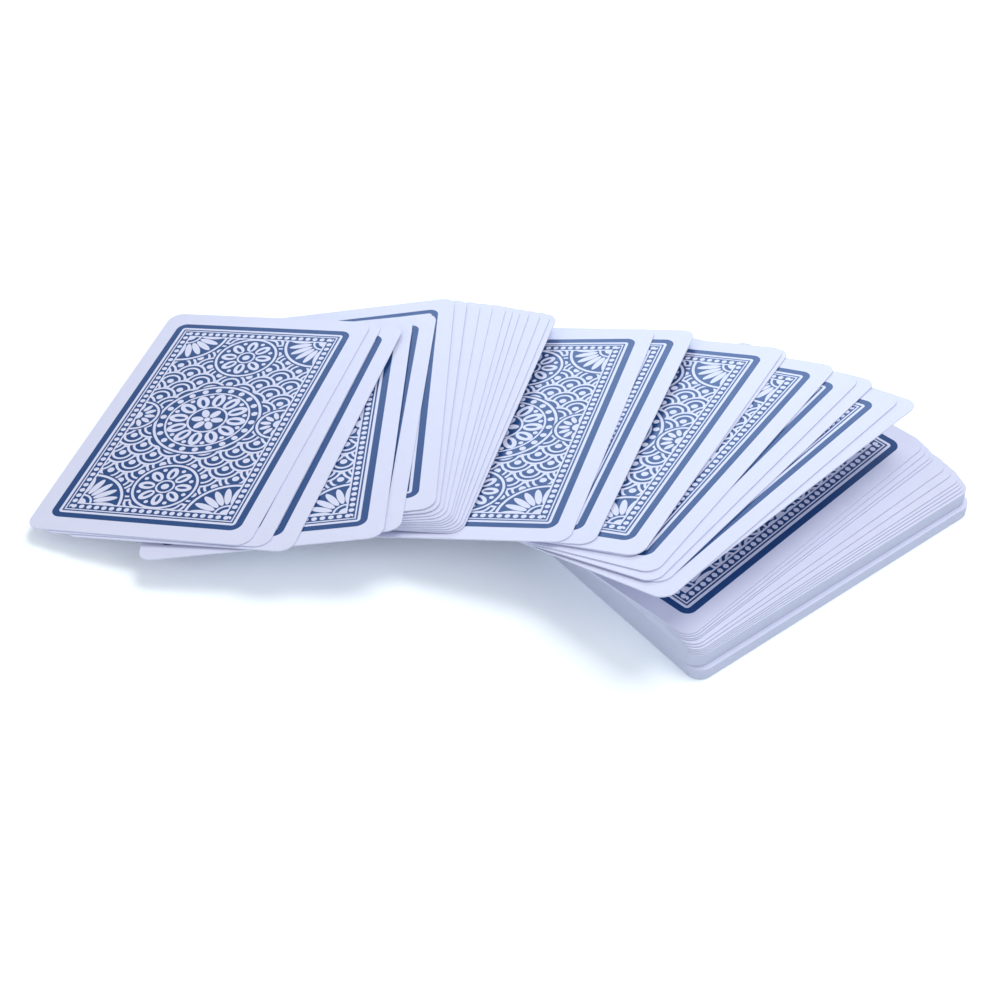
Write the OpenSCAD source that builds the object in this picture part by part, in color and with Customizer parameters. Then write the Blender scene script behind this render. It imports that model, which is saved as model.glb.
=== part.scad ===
// Deck of playing cards, backs up: a squared stack with the rest of the deck spread over its left edge.
// Millimetres. The origin is the middle of the bottom card's underside, on the table. +Z is up.
// Cards are numbered from 0, the bottom of the deck, to the top, as the names in NODES are.

/* [Card] */
// Width of a card
card_w = 57; // [52:0.5:64]
// Length of a card
card_h = 88; // [80:0.5:96]
// Thickness of the card stock
card_t = 0.3; // [0.2:0.02:0.5]
// Radius of the rounded corners
corner_r = 3.5; // [1:0.5:6]
// Air between two cards that lie on each other
air_gap = 0.06; // [0.04:0.01:0.2]

/* [Stack] */
// Turn of the squared packets about +Z, in degrees
stack_turn = -52; // [-90:0.5:90]
// Cards in the upper squared packet
upper_count = 10; // [4:1:14]
// How far the upper packet is pushed to the left over the lower one
upper_push = 1.25; // [0:0.25:4]
// How far the stack's top card has slid to the left
fan_slide_x = 9; // [0:0.5:20]
// How far the stack's top card has slid back
fan_slide_y = 6; // [0:0.5:20]
// How far the stack's top card has turned back towards square with the table's edge, in degrees
fan_turn = 7.5; // [0:0.5:20]

/* [Spread] */
// Lean of the cards that lie over the stack, in degrees
over_lean = 14; // [10:0.5:18]
// Direction in which those cards rise, in degrees from +X
over_rise = -42; // [-60:1:-20]
// Lean of the cards that reach from the stack's edge to the table, in degrees
edge_lean = 13.5; // [10:0.5:18]
// Direction in which those cards rise, in degrees from +X
edge_rise = -36; // [-60:1:-20]
// Lean of the close run and of the loose run after it, in degrees
middle_lean = 10.5; // [8:0.5:14]
// Direction in which those runs rise, in degrees from +X
middle_rise = -29; // [-50:1:-10]
// Lean of the last run, on top at the left end, in degrees
last_lean = 9; // [7:0.5:12]
// Direction in which the last run rises, in degrees from +X
last_rise = -28; // [-50:1:-10]

/* [Hidden] */
$fn = 64;

SUITS = ["spades", "diamonds", "clubs", "hearts"];
RANKS = [
    "ace", "two", "three", "four", "five", "six", "seven", "eight", "nine", "ten",
    "jack", "queen", "king"
];
NODES = concat(
    ["first_joker", "second_joker"],
    [for (suit = SUITS) for (rank = RANKS) str(rank, "_of_", suit)]
);

// Where a card's middle lies on the table plan, [x, y], and its turn about +Z, in degrees.
function between(a, b, share) = a + (b - a) * share;

// The stack: two squared packets, then cards that slide and turn more and more.
lower_spot = [0, 0];
upper_spot = lower_spot - upper_push * [cos(stack_turn), sin(stack_turn)];
fan_spot = lower_spot + [-fan_slide_x, fan_slide_y];
fan_shares = [0.05, 0.1, 0.15, 0.2, 0.35, 0.5, 0.75, 0.8, 0.9, 1];

// The spread, from the card on the stack to the card at the far left end.
over_spots = [[-13, 4], [-16, 3.5], [-19.5, 9], [-22.5, 9.5], [-26, 12.5], [-34, 18.5], [-34.5, 18]];
over_turns = [-46, -42.5, -39, -37.5, -33.5, -28.5, -27];
edge_spots = [[-51.5, 23], [-59.5, 24]];
edge_turns = [-19, -16];
middle_first_spot = [-84, 32.5];
middle_first_turn = -15.5;
middle_top_spot = [-101.5, 33];
middle_top_turn = -1.5;
middle_shares = [0, 0.06, 0.16, 0.27, 0.36, 0.43, 0.5, 0.63, 0.75, 0.88, 1];
loose_spots = [[-107.5, 27], [-112.5, 24]];
loose_turns = [-3.5, -2];
last_spots = [[-123, 27], [-128.5, 29], [-132, 30]];
last_turns = [-14.5, -14.5, -15.5];

spread_spots = concat(
    over_spots,
    edge_spots,
    [for (share = middle_shares) between(middle_first_spot, middle_top_spot, share)],
    loose_spots,
    last_spots
);
spread_turns = concat(
    over_turns,
    edge_turns,
    [for (share = middle_shares) between(middle_first_turn, middle_top_turn, share)],
    loose_turns,
    last_turns
);
// The cards that no other run takes square up at the bottom.
lower_count = len(NODES) - upper_count - len(fan_shares) - len(spread_spots);
stack_spots = concat(
    [for (i = [1 : lower_count]) lower_spot],
    [for (i = [1 : upper_count]) upper_spot],
    [for (share = fan_shares) between(upper_spot, fan_spot, share)]
);
stack_turns = concat(
    [for (i = [1 : lower_count + upper_count]) stack_turn],
    [for (share = fan_shares) stack_turn + fan_turn * share]
);
spots = concat(stack_spots, spread_spots);
turns = concat(stack_turns, spread_turns);

// How a card leans: [angle, direction in which it rises].
leans = concat(
    [for (p = stack_spots) [0, 0]],
    [for (p = over_spots) [over_lean, over_rise]],
    [for (p = edge_spots) [edge_lean, edge_rise]],
    [for (i = [1 : len(middle_shares) + len(loose_spots)]) [middle_lean, middle_rise]],
    [for (p = last_spots) [last_lean, last_rise]]
);

function rise(i) = [cos(leans[i][1]), sin(leans[i][1])];
function slope(i) = tan(leans[i][0]) * rise(i);

// A card's outline before it is placed, with a straight cut across each corner that clears its round.
half_w = card_w / 2;
half_h = card_h / 2;
corner_cut = corner_r * (1 - tan(22.5));
outline = [
    [half_w, half_h - corner_cut],
    [half_w - corner_cut, half_h],
    [corner_cut - half_w, half_h],
    [-half_w, half_h - corner_cut],
    [-half_w, corner_cut - half_h],
    [corner_cut - half_w, -half_h],
    [half_w - corner_cut, -half_h],
    [half_w, corner_cut - half_h]
];

// The outline of card i as seen from above, about its own middle. A lean shortens it towards its rise.
function turned(p, a) = [p[0] * cos(a) - p[1] * sin(a), p[0] * sin(a) + p[1] * cos(a)];
function shadow(i) = [
    for (p = outline)
        let (q = turned(p, turns[i]))
            q - (1 - cos(leans[i][0])) * (q * rise(i)) * rise(i)
];

// The part of one convex outline that lies inside another, cut side by side.
function side(p, a, b) = cross(b - a, p - a);
function cut(shape, a, b) = [
    for (i = [0 : len(shape) - 1])
        let (
            p = shape[i],
            q = shape[(i + 1) % len(shape)],
            at_p = side(p, a, b),
            at_q = side(q, a, b)
        )
            each concat(
                at_p >= 0 ? [p] : [],
                at_p * at_q < 0 ? [p + (q - p) * at_p / (at_p - at_q)] : []
            )
];
function shared(shape, other, k = 0) =
    len(shape) == 0 || k == len(other) ? shape :
    shared(cut(shape, other[k], other[(k + 1) % len(other)]), other, k + 1);

// The height at which card i comes to rest: it keeps its lean and drops until it meets the table or
// a card below it. outlines and heights are those of the cards 0 to i - 1.
function reach(i, p) = slope(i) * (p - spots[i]);
function top_at(i, height, p) = height + reach(i, p) + (card_t + air_gap) / cos(leans[i][0]);
function rest_height(i, shape, outlines, heights) = max([
    for (p = shape) -reach(i, p),
    for (j = [0 : 1 : i - 1])
        for (p = shared(shape, outlines[j])) top_at(j, heights[j], p) - reach(i, p)
]);
function settled(i, outlines, heights) =
    i == len(spots) ? heights :
    let (
        shape = [for (p = shadow(i)) spots[i] + p],
        height = i < len(stack_spots) ? i * (card_t + air_gap) : rest_height(i, shape, outlines, heights)
    )
        settled(i + 1, concat(outlines, [shape]), concat(heights, [height]));
heights = settled(0, [], []);

module card_blank() {
    inner_w = card_w - 2 * corner_r;
    inner_h = card_h - 2 * corner_r;
    linear_extrude(card_t) union() {
        square([card_w, inner_h], center = true);
        square([inner_w, card_h], center = true);
        for (x = [-1, 1]) for (y = [-1, 1])
            translate([x * inner_w / 2, y * inner_h / 2]) circle(corner_r);
    }
}

// Card number i of the deck, with its underside, the face, towards the table.
module card(i) {
    color([0.87, 0.88, 0.95])
        translate([spots[i][0], spots[i][1], heights[i]])
            rotate(a = leans[i][0], v = [sin(leans[i][1]), -cos(leans[i][1]), 0])
                rotate(turns[i])
                    card_blank();
}

for (i = [0 : len(NODES) - 1])
    card(i);
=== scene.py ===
import math

import bmesh
import bpy
from mathutils import Matrix, Vector


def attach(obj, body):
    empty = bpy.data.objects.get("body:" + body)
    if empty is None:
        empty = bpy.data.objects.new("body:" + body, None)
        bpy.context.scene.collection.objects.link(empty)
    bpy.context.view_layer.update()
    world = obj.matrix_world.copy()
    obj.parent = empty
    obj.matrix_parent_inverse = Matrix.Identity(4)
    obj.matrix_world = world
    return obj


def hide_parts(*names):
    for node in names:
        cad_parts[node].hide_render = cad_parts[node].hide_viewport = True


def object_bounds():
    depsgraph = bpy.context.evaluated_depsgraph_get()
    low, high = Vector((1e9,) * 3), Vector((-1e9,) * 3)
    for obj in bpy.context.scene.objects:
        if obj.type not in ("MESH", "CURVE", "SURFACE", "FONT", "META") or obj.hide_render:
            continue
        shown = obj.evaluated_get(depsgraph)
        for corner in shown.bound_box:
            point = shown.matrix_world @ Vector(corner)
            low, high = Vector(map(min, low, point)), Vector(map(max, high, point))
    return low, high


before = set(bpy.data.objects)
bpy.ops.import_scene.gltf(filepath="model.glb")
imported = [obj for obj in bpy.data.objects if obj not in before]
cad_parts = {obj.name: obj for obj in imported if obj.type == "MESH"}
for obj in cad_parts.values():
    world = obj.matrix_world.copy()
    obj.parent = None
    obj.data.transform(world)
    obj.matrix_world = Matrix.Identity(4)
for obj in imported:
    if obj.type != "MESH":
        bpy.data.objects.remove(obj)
cadLow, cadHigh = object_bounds()
scene = bpy.context.scene
scene.view_settings.view_transform = "Standard"
mm = 0.001
printMapWidth = 100     # millimetres of card that the print map spans
print("frame:", len(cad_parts), "cards")


# Node readings: numbers on their way through a node tree, joined with the usual signs
class Reading:
    def __init__(self, tree, socket):
        self.tree = tree
        self.socket = socket

    def __add__(self, other):
        return calc("ADD", self, other)

    def __radd__(self, other):
        return calc("ADD", other, self)

    def __sub__(self, other):
        return calc("SUBTRACT", self, other)

    def __rsub__(self, other):
        return calc("SUBTRACT", other, self)

    def __mul__(self, other):
        return calc("MULTIPLY", self, other)

    def __rmul__(self, other):
        return calc("MULTIPLY", other, self)

    def __truediv__(self, other):
        return calc("DIVIDE", self, other)

    def __abs__(self):
        return calc("ABSOLUTE", self)


def feed(tree, socket, value):
    if isinstance(value, Reading):
        tree.links.new(value.socket, socket)
    elif isinstance(value, bpy.types.NodeSocket):
        tree.links.new(value, socket)
    else:
        socket.default_value = value


def calc(operation, *values, clamp=False):
    tree = next(value.tree for value in values if isinstance(value, Reading))
    node = tree.nodes.new("ShaderNodeMath")
    node.operation = operation
    node.use_clamp = clamp
    for socket, value in zip(node.inputs, values):
        feed(tree, socket, value)
    return Reading(tree, node.outputs[0])


def lower(first, second):
    return calc("MINIMUM", first, second)


def higher(first, second):
    return calc("MAXIMUM", first, second)


def length(x, y):
    tree = x.tree if isinstance(x, Reading) else y.tree
    pair = tree.nodes.new("ShaderNodeCombineXYZ")
    feed(tree, pair.inputs["X"], x)
    feed(tree, pair.inputs["Y"], y)
    node = tree.nodes.new("ShaderNodeVectorMath")
    node.operation = "LENGTH"
    tree.links.new(pair.outputs[0], node.inputs[0])
    return Reading(tree, node.outputs["Value"])


def where(test, yes, no):  # yes where the test is above 0
    tree = test.tree
    node = tree.nodes.new("ShaderNodeMix")
    node.data_type = "FLOAT"
    feed(tree, node.inputs[0], calc("GREATER_THAN", test, 0.0))
    feed(tree, node.inputs[2], no)
    feed(tree, node.inputs[3], yes)
    return Reading(tree, node.outputs[0])


def newGroup(name, inputs, outputs):
    tree = bpy.data.node_groups.new(name, "ShaderNodeTree")
    for socketName, kind in inputs:
        tree.interface.new_socket(socketName, in_out="INPUT", socket_type=kind)
    for socketName, kind in outputs:
        tree.interface.new_socket(socketName, in_out="OUTPUT", socket_type=kind)
    return tree, tree.nodes.new("NodeGroupInput"), tree.nodes.new("NodeGroupOutput")


# Printed back: sizes in millimetres on the card, values above 0 are bare paper
backPrint = {
    "halfWidth": 24.4,      # outer edge of the frame line
    "halfLength": 39.4,
    "frameRound": 2.6,
    "frameLine": 1.7,
    "fineLines": ((2.05, 0.7), (3.0, 0.36), (5.3, 0.45)),   # depth inside the frame, width
    "fieldDepth": 5.3,
    "beadDepth": 4.15,
    "beadPitch": 1.96,
    "beadSize": 0.66,
    "scalePitch": 8.2,
    "scaleRise": 3.4,
    "scaleBands": ((3.75, 0.66), (2.35, 0.62)),    # distance from the scale's middle, width
    "scaleDot": 0.88,
    "scaleStart": 1.0,      # first row of scales, from the middle of the card
    "inkMargin": 0.4,       # solid ink inside the frame line
    "veinShift": 0.3,
    "veinLength": 0.6,      # share of its petal
    "edgeBlur": 0.06,
}


def strip(depth, width):
    return width / 2 - abs(depth)


def dot(x, y, size):
    return size - length(x, y)


def leaf(x, y, middle, halfLong, halfWide):
    return (1 - length((x - middle) / halfLong, y / halfWide)) * min(halfLong, halfWide)


def depthInside(x, y, halfWidth, halfLength, radius):
    overX = abs(x) - (halfWidth - radius)
    overY = abs(y) - (halfLength - radius)
    outside = length(higher(overX, 0.0), higher(overY, 0.0))
    return radius - outside - lower(higher(overX, overY), 0.0)


def folded(reach, angle, count, turn=0.0):  # one sector of a rosette, repeated round its middle
    half = math.pi / count
    within = calc("WRAP", angle + turn * half, half, -half)
    return reach * calc("COSINE", within), reach * calc("SINE", within)


def scales(x, y):  # rows of overlapping scales, distance to the scale's own middle
    pitch, rise = backPrint["scalePitch"], backPrint["scaleRise"]
    row = calc("FLOOR", y / rise)
    found = None
    for step in (1, 0, -1, -2):
        level = row + step
        shift = calc("WRAP", level, 2.0, 0.0) * (pitch / 2)
        away = length(calc("WRAP", x - shift, pitch / 2, -pitch / 2), y - level * rise)
        found = away if found is None else where(pitch / 2 - away, away, found)
    return found


def rosette(x, y, plan):
    reach = length(x, y)
    angle = calc("ARCTAN2", y, x)
    bare = plan["button"] - reach
    for radius, width in plan["rings"]:
        bare = higher(bare, strip(reach - radius, width))
    for count, middle, halfLong, halfWide, vein, turn in plan["leaves"]:
        px, py = folded(reach, angle, count, turn)
        petal = leaf(px, py, middle, halfLong, halfWide)
        if vein:
            veinMiddle, veinLong = middle - backPrint["veinShift"], halfLong * backPrint["veinLength"]
            petal = lower(petal, 0.0 - leaf(px, py, veinMiddle, veinLong, halfWide * vein))
        bare = higher(bare, petal)
    for count, middle, size, turn in plan["beads"]:
        px, py = folded(reach, angle, count, turn)
        bare = higher(bare, dot(px - middle, py, size))
    return bare, plan["radius"] - reach


# Rosettes: rings are (radius, width), leaves (count, middle, half length, half width, vein, turn),
# beads (count, middle, size, turn), where a turn of 1 is half a step
centreRosette = {
    "radius": 14.0,
    "rings": ((13.2, 0.7), (10.5, 0.5), (4.9, 0.55)),
    "leaves": ((12, 7.7, 2.5, 1.6, 0.32, 0), (6, 2.6, 1.6, 0.95, 0, 0)),
    "beads": ((22, 11.85, 0.8, 0), (12, 9.4, 0.6, 1)),
    "button": 0.8,
}
endRosette = {
    "fromMiddle": 26.0,
    "radius": 8.6,
    "rings": ((7.8, 0.65), (2.15, 0.5)),
    "leaves": ((8, 4.75, 2.1, 1.35, 0.32, 0),),
    "beads": ((8, 6.3, 0.55, 1),),
    "button": 1.0,
}
cornerShell = {
    "radius": 11.2,
    "rings": ((10.4, 0.7), (3.0, 0.55)),
    "leaves": ((20, 6.5, 2.9, 0.85, 0, 0),),
    "beads": (),
    "button": 1.8,
}
sideShell = {
    "radius": 6.2,
    "rings": ((5.4, 0.65),),
    "leaves": ((12, 3.4, 1.4, 0.62, 0, 0),),
    "beads": (),
    "button": 1.4,
}


def makeBackPrint():
    tree, start, end = newGroup(
        "backPrint", [("at", "NodeSocketVector")], [("paper", "NodeSocketFloat")]
    )
    split = tree.nodes.new("ShaderNodeSeparateXYZ")
    tree.links.new(start.outputs["at"], split.inputs[0])
    x = (Reading(tree, split.outputs["X"]) - 0.5) * printMapWidth
    y = (Reading(tree, split.outputs["Y"]) - 0.5) * printMapWidth
    sideX, sideY = abs(x), abs(y)
    halfWidth, halfLength = backPrint["halfWidth"], backPrint["halfLength"]
    depth = depthInside(x, y, halfWidth, halfLength, backPrint["frameRound"])

    scale = scales(sideX, sideY - backPrint["scaleStart"])
    field = backPrint["scaleDot"] - scale
    for away, width in backPrint["scaleBands"]:
        field = higher(field, strip(scale - away, width))
    cornerX = halfWidth - backPrint["fieldDepth"] - sideX
    cornerY = halfLength - backPrint["fieldDepth"] - sideY
    for plan, px, py in (
        (centreRosette, x, y),
        (endRosette, x, sideY - endRosette["fromMiddle"]),
        (cornerShell, cornerX, cornerY),
        (sideShell, cornerX, y),
    ):
        drawn, cover = rosette(px, py, plan)
        field = where(cover, drawn, field)

    pitch = backPrint["beadPitch"]
    nearSide = where((halfLength - sideY) - (halfWidth - sideX), y, x)
    alongSide = calc("WRAP", nearSide, pitch / 2, -pitch / 2)
    beads = dot(alongSide, depth - backPrint["beadDepth"], backPrint["beadSize"])
    paper = where(depth - backPrint["fieldDepth"], field, beads)
    paper = lower(paper, depth - backPrint["frameLine"] - backPrint["inkMargin"])
    for place, width in backPrint["fineLines"]:
        paper = higher(paper, strip(depth - place, width))
    paper = higher(paper, 0.0 - depth)
    mask = calc("MULTIPLY_ADD", paper, 1 / backPrint["edgeBlur"], 0.5, clamp=True)
    tree.links.new(mask.socket, end.inputs["paper"])
    print("back print:", len(tree.nodes), "nodes")
    return tree


# Card stock: fine crossed relief of the coating, and a slight unevenness of tone and shine
cardGrain = {
    "ribPitch": 0.42,           # millimetres
    "cloudScale": 24.0,
    "cloudDetail": 5.0,
    "speckScale": 420.0,
    "speckDetail": 2.0,
    "tone": (0.955, 0.06, 0.03),    # least, then what clouds and specks add
    "haze": (0.88, 0.16, 0.08),
    "relief": (0.7, 0.3),           # share of the ribs, share of the specks
    "bumpStrength": 0.12,
    "bumpDepth": 0.02 * mm,
}


def noiseValue(tree, at, scale, detail):
    noise = tree.nodes.new("ShaderNodeTexNoise")
    noise.inputs["Scale"].default_value = scale
    noise.inputs["Detail"].default_value = detail
    tree.links.new(at, noise.inputs["Vector"])
    return Reading(tree, noise.outputs["Fac"])


def makeCardGrain():
    tree, start, end = newGroup(
        "cardGrain",
        [("at", "NodeSocketVector")],
        [("tone", "NodeSocketFloat"), ("relief", "NodeSocketFloat"), ("haze", "NodeSocketFloat")],
    )
    split = tree.nodes.new("ShaderNodeSeparateXYZ")
    tree.links.new(start.outputs["at"], split.inputs[0])
    weave = printMapWidth / cardGrain["ribPitch"] * math.pi
    across = abs(calc("SINE", Reading(tree, split.outputs["X"]) * weave))
    along = abs(calc("SINE", Reading(tree, split.outputs["Y"]) * weave))
    cloud = noiseValue(tree, start.outputs["at"], cardGrain["cloudScale"], cardGrain["cloudDetail"])
    speck = noiseValue(tree, start.outputs["at"], cardGrain["speckScale"], cardGrain["speckDetail"])
    for output in ("tone", "haze"):     # haze: handled spots shine a little less
        least, ofCloud, ofSpeck = cardGrain[output]
        tree.links.new((least + cloud * ofCloud + speck * ofSpeck).socket, end.inputs[output])
    ofRibs, ofSpeck = cardGrain["relief"]
    tree.links.new((across * along * ofRibs + speck * ofSpeck).socket, end.inputs["relief"])
    return tree


backPrintGroup = makeBackPrint()
cardGrainGroup = makeCardGrain()

# Materials: coated paper and inks on it, and the bare cut edge
paperColour = (0.73, 0.752, 0.93, 1)
inks = {
    "red_ink": (0.55, 0.018, 0.02, 1),
    "black_ink": (0.012, 0.012, 0.016, 1),
    "gold_ink": (0.72, 0.42, 0.05, 1),
    "blue_ink": (0.003, 0.05, 0.2, 1),
}
coating = {"roughness": 0.34, "gloss": 0.4}
cutEdge = {"ply": (0.74, 0.785, 0.95, 1), "core": (0.63, 0.675, 0.85, 1), "roughness": 0.7, "gloss": 0.2}


def newMaterial(name, roughness, gloss):
    material = bpy.data.materials.new(name)
    material.use_nodes = True
    tree = material.node_tree
    shader = tree.nodes["Principled BSDF"]
    shader.inputs["IOR"].default_value = 1.5
    shader.inputs["Specular IOR Level"].default_value = gloss
    printMap = tree.nodes.new("ShaderNodeUVMap")
    printMap.uv_map = "print"
    grain = tree.nodes.new("ShaderNodeGroup")
    grain.node_tree = cardGrainGroup
    tree.links.new(printMap.outputs["UV"], grain.inputs["at"])
    feed(tree, shader.inputs["Roughness"], Reading(tree, grain.outputs["haze"]) * roughness)
    bump = tree.nodes.new("ShaderNodeBump")
    bump.inputs["Strength"].default_value = cardGrain["bumpStrength"]
    bump.inputs["Distance"].default_value = cardGrain["bumpDepth"]
    tree.links.new(grain.outputs["relief"], bump.inputs["Height"])
    tree.links.new(bump.outputs["Normal"], shader.inputs["Normal"])
    return material, tree, shader, printMap, grain


def tinted(tree, colour, grain):  # a colour with the stock's uneven tone
    node = tree.nodes.new("ShaderNodeMix")
    node.data_type = "RGBA"
    node.blend_type = "MULTIPLY"
    node.inputs[0].default_value = 1.0
    feed(tree, node.inputs[6], colour)
    tree.links.new(grain.outputs["tone"], node.inputs[7])
    return node.outputs[2]


def makeBackMaterial():
    material, tree, shader, printMap, grain = newMaterial("card_back", **coating)
    design = tree.nodes.new("ShaderNodeGroup")
    design.node_tree = backPrintGroup
    tree.links.new(printMap.outputs["UV"], design.inputs["at"])
    colour = tree.nodes.new("ShaderNodeMix")
    colour.data_type = "RGBA"
    tree.links.new(design.outputs["paper"], colour.inputs[0])
    colour.inputs[6].default_value = inks["blue_ink"]
    colour.inputs[7].default_value = paperColour
    tree.links.new(tinted(tree, colour.outputs[2], grain), shader.inputs["Base Color"])
    return material


def makeEdgeMaterial():  # cut edge: two white plies on a greyer core
    material, tree, shader, printMap, grain = newMaterial(
        "card_edge", cutEdge["roughness"], cutEdge["gloss"]
    )
    ply = tree.nodes.new("ShaderNodeAttribute")
    ply.attribute_name = "ply"
    ramp = tree.nodes.new("ShaderNodeValToRGB")
    for end in ramp.color_ramp.elements:
        end.color = cutEdge["ply"]
    ramp.color_ramp.elements.new(0.5).color = cutEdge["core"]
    tree.links.new(ply.outputs["Fac"], ramp.inputs["Fac"])
    tree.links.new(tinted(tree, ramp.outputs["Color"], grain), shader.inputs["Base Color"])
    return material


def makePlainMaterial(name, colour):
    material, tree, shader, printMap, grain = newMaterial(name, **coating)
    tree.links.new(tinted(tree, colour, grain), shader.inputs["Base Color"])
    return material


cardMaterials = [
    makeBackMaterial(),
    makeEdgeMaterial(),
    makePlainMaterial("card_face", paperColour),
    *(makePlainMaterial(name, colour) for name, colour in inks.items()),
]
backSlot, edgeSlot, faceSlot, redSlot, blackSlot, goldSlot, blueSlot = range(7)
print("materials:", len(cardMaterials))


# Face prints: closed outlines about their own middle, in millimetres, about 10 high
def heartOutline():
    points = []
    for step in range(40):
        t = math.tau * step / 40
        x = 16 * math.sin(t) ** 3
        y = 13 * math.cos(t) - 5 * math.cos(2 * t) - 2 * math.cos(3 * t) - math.cos(4 * t)
        points.append((x / 3, (y + 2.5) / 3))
    return points


def spadeOutline():
    lobes = [(x, -y) for x, y in heartOutline()[4:-3]]
    foot = [(-0.6, -3.0), (-0.9, -4.0), (-2.0, -5.2), (2.0, -5.2), (0.9, -4.0), (0.6, -3.0)]
    return lobes + foot


def clubOutline():
    spread, rise, radius, hub = 2.2, 0.6, 2.1, 1.2
    middles = []
    for turn in (90, 210, 330):
        angle = math.radians(turn)
        middles.append((spread * math.cos(angle), spread * math.sin(angle) + rise))
    points = []
    for step in range(52):
        angle = math.radians(-76 + 332 * step / 51)
        dx, dy = math.cos(angle), math.sin(angle)
        reach = hub
        for mx, my in middles:
            near = mx * dx + my * dy
            inside = radius ** 2 - (mx ** 2 + my ** 2) + near ** 2
            if inside > 0:
                reach = max(reach, near + math.sqrt(inside))
        points.append((reach * dx, reach * dy))
    return points + [(-0.8, -3.6), (-2.0, -4.8), (2.0, -4.8), (0.8, -3.6)]


def diamondOutline():
    right = [(0, 5.2), (1.9, 2.45), (3.9, 0), (1.9, -2.45)]
    return right + [(-x, -y) for x, y in right]


def starOutline():
    points = []
    for k in range(10):
        reach = 2.1 if k % 2 else 5
        points.append((reach * math.sin(math.pi * k / 5), reach * math.cos(math.pi * k / 5)))
    return points


def crownOutline(spikes):
    points = [(-6, -4), (6, -4), (7, 1)]
    for k in range(spikes):
        tip = 7 - 14 * (k + 0.5) / spikes
        points += [(tip, 5 - abs(tip) * 0.15), (tip - 7 / spikes, 0.5)]
    points[-1] = (-7, 1)
    return points


suitOutlines = {
    "hearts": heartOutline(),
    "spades": spadeOutline(),
    "clubs": clubOutline(),
    "diamonds": diamondOutline(),
}
pipRows = {
    "ace": [(0, 0)],
    "two": [(0, 26), (0, -26)],
    "three": [(0, 26), (0, 0), (0, -26)],
    "four": [(-12, 26), (12, 26), (-12, -26), (12, -26)],
    "five": [(-12, 26), (12, 26), (0, 0), (-12, -26), (12, -26)],
    "six": [(-12, 26), (12, 26), (-12, 0), (12, 0), (-12, -26), (12, -26)],
    "seven": [(-12, 26), (12, 26), (0, 13), (-12, 0), (12, 0), (-12, -26), (12, -26)],
    "eight": [(-12, 26), (12, 26), (0, 13), (-12, 0), (12, 0), (0, -13), (-12, -26), (12, -26)],
    "nine": [
        (-12, 26), (12, 26), (-12, 9), (12, 9), (0, 0),
        (-12, -9), (12, -9), (-12, -26), (12, -26),
    ],
    "ten": [
        (-12, 26), (12, 26), (0, 17.5), (-12, 9), (12, 9),
        (-12, -9), (12, -9), (0, -17.5), (-12, -26), (12, -26),
    ],
}
indexSigns = {
    "ace": "A", "two": "2", "three": "3", "four": "4", "five": "5", "six": "6", "seven": "7",
    "eight": "8", "nine": "9", "ten": "10", "jack": "J", "queen": "Q", "king": "K",
}
facePrint = {
    "pipSize": 1.05,
    "acePip": 1.9,
    "indexPlace": (-23.2, 36.2),
    "indexHeight": 7.2,
    "indexPip": (-23.2, 28.6),
    "indexPipSize": 0.5,
    "jokerStar": 3.0,
    "jokerIndex": 0.6,
    "jokerRing": (12, 21, 0.4),     # count, radius, size
    "panel": (16.5, 30.5),
    "panelLine": 0.6,
    "crown": (15, 1.2),             # from the middle, size
    "courtPip": (10.5, 25, 0.7),    # to the side, from the middle, size
    "courtRow": (6.4, 0.55),        # pitch, size
}


def moved(outline, x, y, size, turned=False):
    sign = -1 if turned else 1
    return [(x + sign * size * px, y + sign * size * py) for px, py in outline]


def signOutlines(sign):  # outlines of a corner index, from Blender's own plain letters
    curve = bpy.data.curves.new("index_sign", "FONT")
    curve.body = sign
    curve.align_x = "CENTER"
    curve.align_y = "CENTER"
    curve.resolution_u = 3
    holder = bpy.data.objects.new("index_sign", curve)
    scene.collection.objects.link(holder)
    bpy.context.view_layer.update()
    mesh = bpy.data.meshes.new_from_object(holder.evaluated_get(bpy.context.evaluated_depsgraph_get()))
    shape = bmesh.new()
    shape.from_mesh(mesh)
    bmesh.ops.remove_doubles(shape, verts=shape.verts, dist=1e-5)
    rim = {edge for edge in shape.edges if edge.is_boundary}
    outlines = []
    while rim:
        edge = rim.pop()
        first, corner = edge.verts
        outline = [tuple(first.co.xy)]
        while corner is not first:
            outline.append(tuple(corner.co.xy))
            edge = next(link for link in corner.link_edges if link in rim)
            rim.discard(edge)
            corner = edge.other_vert(corner)
        outlines.append(outline)
    shape.free()
    bpy.data.objects.remove(holder)
    bpy.data.curves.remove(curve)
    bpy.data.meshes.remove(mesh)
    return outlines


signShapes = {rank: signOutlines(sign) for rank, sign in indexSigns.items()}
print("index signs:", len(signShapes))


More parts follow.
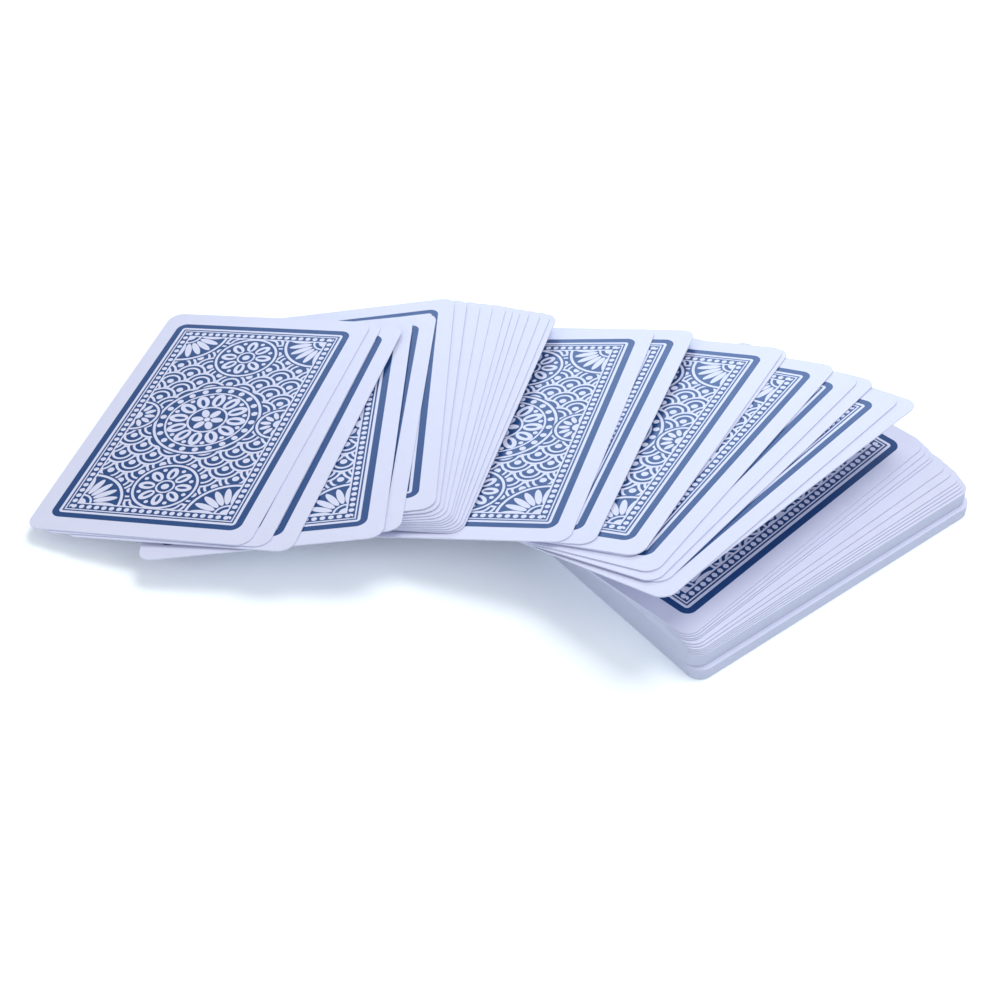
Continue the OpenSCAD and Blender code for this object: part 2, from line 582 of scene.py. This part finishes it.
def faceOutlines(name):  # (ink, outline) pairs of one card's face, as its reader sees it
    prints = []
    if "joker" in name:
        ink = redSlot if name.startswith("first") else blackSlot
        prints.append((ink, moved(starOutline(), 0, 0, facePrint["jokerStar"])))
        for turned in (False, True):
            x, y = facePrint["indexPlace"]
            sign = -1 if turned else 1
            index = moved(starOutline(), sign * x, sign * y, facePrint["jokerIndex"], turned)
            prints.append((ink, index))
        count, radius, size = facePrint["jokerRing"]
        for k in range(count):
            angle = math.tau * k / count
            spot = radius * math.sin(angle), radius * math.cos(angle)
            prints.append((goldSlot, moved(diamondOutline(), *spot, size)))
        return prints
    rank, suit = name.split("_of_")
    ink = redSlot if suit in ("hearts", "diamonds") else blackSlot
    pip = suitOutlines[suit]
    for turned in (False, True):
        sign = -1 if turned else 1
        x, y = facePrint["indexPlace"]
        for outline in signShapes[rank]:
            prints.append((ink, moved(outline, sign * x, sign * y, facePrint["indexHeight"], turned)))
        x, y = facePrint["indexPip"]
        prints.append((ink, moved(pip, sign * x, sign * y, facePrint["indexPipSize"], turned)))
    if rank in pipRows:
        size = facePrint["acePip"] if rank == "ace" else facePrint["pipSize"]
        for x, y in pipRows[rank]:
            prints.append((ink, moved(pip, x, y, size, y < 0)))
        return prints
    halfX, halfY = facePrint["panel"]
    for inset in (0, facePrint["panelLine"]):
        x, y = halfX - inset, halfY - inset
        prints.append((blueSlot, [(x, y), (-x, y), (-x, -y), (x, -y)]))
    crown = crownOutline({"jack": 2, "queen": 3, "king": 5}[rank])
    crownY, crownSize = facePrint["crown"]
    pipX, pipY, pipSize = facePrint["courtPip"]
    for turned in (False, True):
        sign = -1 if turned else 1
        prints.append((goldSlot, moved(crown, 0, sign * crownY, crownSize, turned)))
        prints.append((ink, moved(pip, sign * -pipX, sign * pipY, pipSize, turned)))
        prints.append((ink, moved(pip, sign * pipX, sign * pipY, pipSize, turned)))
    pitch, size = facePrint["courtRow"]
    for k in (-2, -1, 0, 1, 2):
        prints.append((ink if k % 2 else blueSlot, moved(diamondOutline(), pitch * k, 0, size)))
    return prints


# Cards: a sheet with rounded corners, its cut edge slightly rounded, its face inlaid with the print
cardSizes = {
    "width": 57 * mm,
    "length": 88 * mm,
    "stock": 0.3 * mm,
    "cornerRadius": 3.5 * mm,
    "cornerSteps": 12,
    "edgeRound": 0.05 * mm,
    "edgeSteps": 2,
}


def cardPose(cadCard):  # across, along and out of the back, from the solid's flat sides
    faces = cadCard.data.polygons
    up = max(faces, key=lambda face: face.area).normal.copy()
    if up.z < 0:
        up.negate()
    sides = [face for face in faces if abs(face.normal.dot(up)) < 0.01]
    across = max(sides, key=lambda face: face.area).normal.copy()
    if across.x < 0:
        across.negate()
    along = up.cross(across)
    spots = [vertex.co for vertex in cadCard.data.vertices]
    pose = Matrix.Identity(4)
    place = Vector((0, 0, 0))
    for column, axis in enumerate((across, along, up)):
        heights = [spot.dot(axis) for spot in spots]
        middle = min(heights) if axis is up else (min(heights) + max(heights)) / 2
        place += axis * middle
        for row in range(3):
            pose[row][column] = axis[row]
    pose.translation = place
    return pose


def inlay(shape, rim, outlines):  # fills the face round its print, then the print itself
    underZ = rim[0].verts[0].co.z
    inkEdges = {}
    for ink, outline in outlines:
        corners = [shape.verts.new((-x * mm, y * mm, underZ)) for x, y in outline]   # seen from below
        for corner, following in zip(corners, corners[1:] + corners[:1]):
            inkEdges.setdefault(ink, []).append(shape.edges.new((corner, following)))
    everyEdge = list(rim) + [edge for edges in inkEdges.values() for edge in edges]
    for slot, edges in [(faceSlot, everyEdge)] + list(inkEdges.items()):
        filled = bmesh.ops.triangle_fill(shape, use_beauty=True, use_dissolve=False, edges=edges)
        for face in filled["geom"]:
            if isinstance(face, bmesh.types.BMFace):
                face.material_index = slot
                face.normal_update()
                if face.normal.z > 0:
                    face.normal_flip()


def makeCard(name, cadCard):
    sizes = cardSizes
    shape = bmesh.new()
    bmesh.ops.create_grid(shape, x_segments=1, y_segments=1, size=0.5)
    bmesh.ops.scale(shape, vec=(sizes["width"], sizes["length"], 1), verts=shape.verts)
    bmesh.ops.bevel(
        shape, geom=shape.verts[:], offset=sizes["cornerRadius"], offset_type="OFFSET",
        affect="VERTICES", segments=sizes["cornerSteps"], profile=0.5, material=-1,
    )
    raised = bmesh.ops.extrude_face_region(shape, geom=shape.faces[:])
    top = [part for part in raised["geom"] if isinstance(part, bmesh.types.BMVert)]
    bmesh.ops.translate(shape, vec=(0, 0, sizes["stock"]), verts=top)
    bmesh.ops.recalc_face_normals(shape, faces=shape.faces)
    rims = []
    for edge in shape.edges:
        first, second = edge.verts
        if abs(first.co.z - second.co.z) < sizes["stock"] / 2:
            rims.append(edge)
    bmesh.ops.bevel(
        shape, geom=rims, offset=sizes["edgeRound"], offset_type="OFFSET",
        affect="EDGES", segments=sizes["edgeSteps"], profile=0.5, material=-1,
    )
    flats = sorted(shape.faces, key=lambda face: face.normal.z)
    under, over = flats[0], flats[-1]
    for face in shape.faces:
        face.material_index = edgeSlot
        face.smooth = face not in (under, over)
    over.material_index = backSlot
    rim = list(under.edges)
    bmesh.ops.delete(shape, geom=[under], context="FACES_ONLY")
    inlay(shape, rim, faceOutlines(name))

    printLayer = shape.loops.layers.uv.new("print")
    plyLayer = shape.verts.layers.float.new("ply")
    mapWidth = printMapWidth * mm
    for face in shape.faces:
        for loop in face.loops:
            loop[printLayer].uv = (loop.vert.co.x / mapWidth + 0.5, loop.vert.co.y / mapWidth + 0.5)
    for vertex in shape.verts:
        vertex[plyLayer] = vertex.co.z / sizes["stock"]
    bmesh.ops.transform(shape, matrix=cardPose(cadCard), verts=shape.verts)

    mesh = bpy.data.meshes.new(name + "_card")
    shape.to_mesh(mesh)
    shape.free()
    for material in cardMaterials:
        mesh.materials.append(material)
    card = bpy.data.objects.new(name + "_card", mesh)
    scene.collection.objects.link(card)
    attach(card, name)
    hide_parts(name)
    return card


for name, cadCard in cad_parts.items():
    makeCard(name, cadCard)
print("cards made:", len(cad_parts))


# Floor: white, keeps the deck's soft shadow, and grows whiter with distance from the deck
floorLook = {
    "size": 6.0,
    "colour": (0.90, 0.94, 0.97, 1),
    "seenColour": (1.24, 1.31, 1.33, 1),
    "farColour": (2.6, 2.6, 2.6, 1),
    "fade": (0.375, 1.625),     # metres from the origin
}


def makeFloor():
    shape = bmesh.new()
    bmesh.ops.create_grid(shape, x_segments=1, y_segments=1, size=floorLook["size"] / 2)
    bmesh.ops.translate(shape, vec=(0, 0, cadLow.z), verts=shape.verts)
    mesh = bpy.data.meshes.new("floor")
    shape.to_mesh(mesh)
    shape.free()
    floor = bpy.data.objects.new("floor", mesh)
    scene.collection.objects.link(floor)
    material = bpy.data.materials.new("white_floor")
    material.use_nodes = True
    tree = material.node_tree
    tree.nodes.remove(tree.nodes["Principled BSDF"])
    matte = tree.nodes.new("ShaderNodeBsdfDiffuse")
    path = tree.nodes.new("ShaderNodeLightPath")
    seen = Reading(tree, path.outputs["Is Camera Ray"]) + Reading(tree, path.outputs["Is Glossy Ray"])
    seen = seen + Reading(tree, path.outputs["Is Transmission Ray"])
    spot = tree.nodes.new("ShaderNodeTexCoord")
    split = tree.nodes.new("ShaderNodeSeparateXYZ")
    tree.links.new(spot.outputs["Object"], split.inputs[0])
    away = length(Reading(tree, split.outputs["X"]), Reading(tree, split.outputs["Y"]))
    ground = tree.nodes.new("ShaderNodeMix")
    ground.data_type = "RGBA"
    ground.inputs[6].default_value = floorLook["seenColour"]
    ground.inputs[7].default_value = floorLook["farColour"]
    near, far = floorLook["fade"]
    share = calc("MULTIPLY_ADD", away, 1 / (far - near), -near / (far - near), clamp=True)
    feed(tree, ground.inputs[0], share)
    colour = tree.nodes.new("ShaderNodeMix")
    colour.data_type = "RGBA"
    colour.inputs[6].default_value = floorLook["colour"]
    tree.links.new(ground.outputs[2], colour.inputs[7])
    tree.links.new(seen.socket, colour.inputs[0])
    tree.links.new(colour.outputs[2], matte.inputs["Color"])
    tree.links.new(matte.outputs[0], tree.nodes["Material Output"].inputs["Surface"])
    mesh.materials.append(material)


makeFloor()


# Light: a soft panel above on the right, weak ones at both front sides,
# a low blue one at the back that only shines on the coating, and an even sky
sky = {"colour": (0.94, 0.97, 1.02, 1), "strength": 0.48, "seenStrength": 1.2}
white = (1, 1, 1)
lightPanels = {
    "top_panel": {
        "place": (0.27, 0.3, 1.2), "aim": (-0.06, 0.02, 0), "size": (0.65, 0.65),
        "power": 7.0, "colour": white, "sheenOnly": False,
    },
    "fill_panel": {
        "place": (0.85, -0.6, 0.95), "aim": (0, 0, 0), "size": (0.8, 0.8),
        "power": 2.2, "colour": white, "sheenOnly": False,
    },
    "left_panel": {
        "place": (-0.9, -0.8, 0.6), "aim": (0, 0, 0), "size": (0.8, 0.8),
        "power": 2.6, "colour": white, "sheenOnly": False,
    },
    "back_panel": {
        "place": (-0.06, 1.47, 0.555), "aim": (-0.05, 0, 0), "size": (1.0, 0.3),
        "power": 7.8, "colour": (0.48, 0.66, 1), "sheenOnly": True,
    },
}


def makeLight():
    world = bpy.data.worlds.new("studio_sky")
    scene.world = world
    world.use_nodes = True
    tree = world.node_tree
    background = tree.nodes["Background"]
    background.inputs["Color"].default_value = sky["colour"]
    path = tree.nodes.new("ShaderNodeLightPath")
    seen = Reading(tree, path.outputs["Is Camera Ray"])
    strength = sky["strength"] + seen * (sky["seenStrength"] - sky["strength"])
    tree.links.new(strength.socket, background.inputs["Strength"])
    for name, panel in lightPanels.items():
        light = bpy.data.lights.new(name, "AREA")
        light.shape = "RECTANGLE"
        light.size, light.size_y = panel["size"]
        light.energy = panel["power"]
        light.color = panel["colour"]
        lamp = bpy.data.objects.new(name, light)
        lamp.location = panel["place"]
        towards = Vector(panel["aim"]) - Vector(panel["place"])
        lamp.rotation_euler = towards.to_track_quat("-Z", "Y").to_euler()
        lamp.visible_diffuse = not panel["sheenOnly"]
        scene.collection.objects.link(lamp)


makeLight()


# Camera: looks along +Y and down on the spread
view = {
    "lens": 67.93,
    "sensor": 36,
    "clip": (0.01, 20),
    "elevation": 43.47,
    "distance": 0.45266,
    "aim": (-0.06016, 0.00884, 0.0),
}


def makeCamera():
    data = bpy.data.cameras.new("camera")
    data.lens = view["lens"]
    data.sensor_width = view["sensor"]
    data.clip_start, data.clip_end = view["clip"]
    camera = bpy.data.objects.new("camera", data)
    tilt = math.radians(view["elevation"])
    back = Vector((0, -math.cos(tilt), math.sin(tilt)))
    camera.location = Vector(view["aim"]) + back * view["distance"]
    camera.rotation_euler = (math.pi / 2 - tilt, 0, 0)
    scene.collection.objects.link(camera)
    scene.camera = camera


makeCamera()
print("stage, light and camera set")
